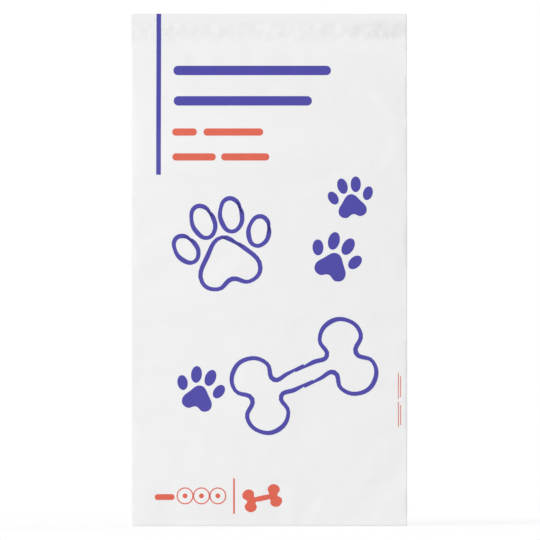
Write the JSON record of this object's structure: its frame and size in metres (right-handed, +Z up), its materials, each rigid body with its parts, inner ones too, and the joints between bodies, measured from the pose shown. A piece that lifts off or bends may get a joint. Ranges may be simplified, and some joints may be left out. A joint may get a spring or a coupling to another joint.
{
  "type": "pet food bag",
  "caption": "Filled paper sack of dry pet food with side gussets, a flat block base and a top folded over to the back; stands upright.",
  "frame": {"origin": "on the surface the bag stands on, under the middle of the bag", "axes": "+Z up, -Y towards the front panel, +X to the right when the front is seen"},
  "size_m": [0.2573, 0.1102, 0.477],
  "materials": {
    "paper": "smooth matt white paper"
  },
  "bodies": {
    "root": {"bag": "paper"}
  },
  "joints": []
}
